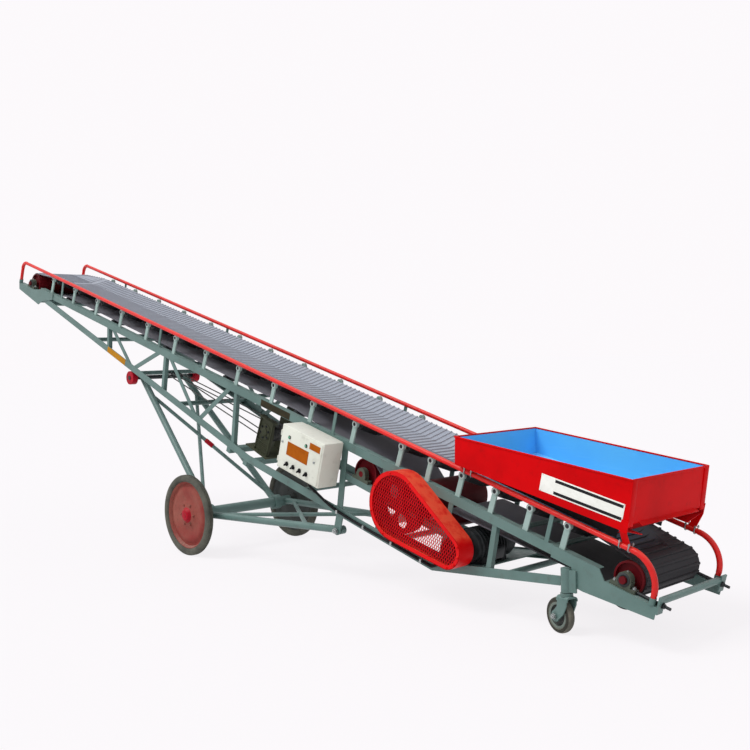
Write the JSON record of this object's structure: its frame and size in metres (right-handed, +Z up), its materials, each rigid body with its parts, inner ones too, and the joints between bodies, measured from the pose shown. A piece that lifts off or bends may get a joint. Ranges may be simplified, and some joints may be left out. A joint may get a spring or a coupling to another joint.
{
  "type": "truck loading belt conveyor",
  "caption": "Mobile inclined troughed belt conveyor on a tapered truss, with a loading hopper, hand rails, belt drive, control box, winched wheel carriage and tail casters.",
  "frame": {"origin": "on the ground under the middle of the overall length and width", "axes": "+X to the tail with the hopper and casters, +Y to the far side of the picture, +Z up"},
  "size_m": [8.1718, 1.245, 2.8226],
  "materials": {
    "frame_paint": "semi-gloss",
    "rail_paint": "gloss",
    "hopper_paint": "gloss",
    "guard_paint": "gloss",
    "drum_paint": "satin",
    "wheel_paint": "satin",
    "roller_paint": "gloss",
    "box_paint": "satin",
    "winch_paint": "satin",
    "dark_steel": "dull",
    "bright_steel": "worn",
    "belt_rubber": "matte",
    "label_orange": "satin",
    "black_plastic": "matte",
    "tyre_rubber": "matte"
  },
  "bodies": {
    "boom": {"upper_chords": "frame_paint", "lower_chords": "frame_paint", "truss_webs": "frame_paint", "cross_members": "frame_paint", "head_plates": "frame_paint", "tail_plates": "frame_paint", "caster_posts": "frame_paint", "idler_posts": "frame_paint", "idler_shafts": "dark_steel", "trough_rollers": "dark_steel", "return_rollers": "dark_steel", "rail_posts": "frame_paint", "guard_rail_near": "rail_paint", "guard_rail_far": "rail_paint", "belt_carry": "belt_rubber", "belt_ends": "belt_rubber", "belt_return": "belt_rubber", "head_pulley": "drum_paint", "tail_pulley": "drum_paint", "drive_drum": "drum_paint", "bend_drums": "drum_paint", "bearing_blocks": "dark_steel", "take_up_screws": "bright_steel", "tow_bar": "frame_paint", "hopper_near": "hopper_paint", "hopper_far": "hopper_paint", "hopper_head": "hopper_paint", "hopper_tail": "hopper_paint", "hopper_legs": "hopper_paint", "hopper_skirts": "black_plastic", "control_box": "box_paint", "control_labels": "label_orange", "control_switches": "black_plastic", "winch": "winch_paint", "winch_frame": "frame_paint", "drive_motor": "dark_steel", "drive_beams": "frame_paint", "motor_base": "frame_paint", "drive_sheaves": "drum_paint", "v_belts": "belt_rubber", "belt_guard": "guard_paint", "pivot_ears": "frame_paint"},
    "stay": {"axle_beam": "frame_paint", "stay_tubes": "frame_paint", "stay_braces": "frame_paint"},
    "legs": {"leg_tubes": "frame_paint", "leg_braces": "frame_paint", "trolley_shaft": "dark_steel", "trolley_rollers": "roller_paint"},
    "wheel_near": {"wheel_near_disc": "wheel_paint", "wheel_near_tyre": "tyre_rubber"},
    "wheel_far": {"wheel_far_disc": "wheel_paint", "wheel_far_tyre": "tyre_rubber"},
    "caster_near": {"caster_near_fork": "frame_paint"},
    "caster_near_wheel": {"caster_near_wheel": "tyre_rubber"},
    "caster_far": {"caster_far_fork": "frame_paint"},
    "caster_far_wheel": {"caster_far_wheel": "tyre_rubber"}
  },
  "joints": [
    {"name": "lift", "type": "hinge", "parent": "boom", "child": "stay", "pos_m": [1.32202, 0, 0.38376], "axis": [0, -1, 0], "range_deg": [-12, 16]},
    {"name": "leg_fold", "type": "hinge", "parent": "stay", "child": "legs", "pos_m": [-0.38757, 0, 0.3475], "axis": [0, -1, 0], "range_deg": [-32, 24]},
    {"name": "wheel_near_spin", "type": "hinge", "parent": "stay", "child": "wheel_near", "pos_m": [-0.38757, -0.58, 0.3475], "axis": [0, 1, 0], "continuous": true},
    {"name": "caster_near_swivel", "type": "hinge", "parent": "boom", "child": "caster_near", "pos_m": [3.41443, -0.38, 0.262], "axis": [0, 0, 1], "continuous": true},
    {"name": "caster_near_spin", "type": "hinge", "parent": "caster_near", "child": "caster_near_wheel", "pos_m": [3.35454, -0.36395, 0.11], "axis": [0.2588, 0.9659, 0], "continuous": true},
    {"name": "wheel_far_spin", "type": "hinge", "parent": "stay", "child": "wheel_far", "pos_m": [-0.38757, 0.58, 0.3475], "axis": [0, 1, 0], "continuous": true},
    {"name": "caster_far_swivel", "type": "hinge", "parent": "boom", "child": "caster_far", "pos_m": [3.41443, 0.38, 0.262], "axis": [0, 0, 1], "continuous": true},
    {"name": "caster_far_spin", "type": "hinge", "parent": "caster_far", "child": "caster_far_wheel", "pos_m": [3.35454, 0.36395, 0.11], "axis": [0.2588, -0.9659, 0], "continuous": true}
  ],
  "couplings": [
    {"joint": "leg_fold", "follows": "lift", "ratio": -1.9609}
  ]
}
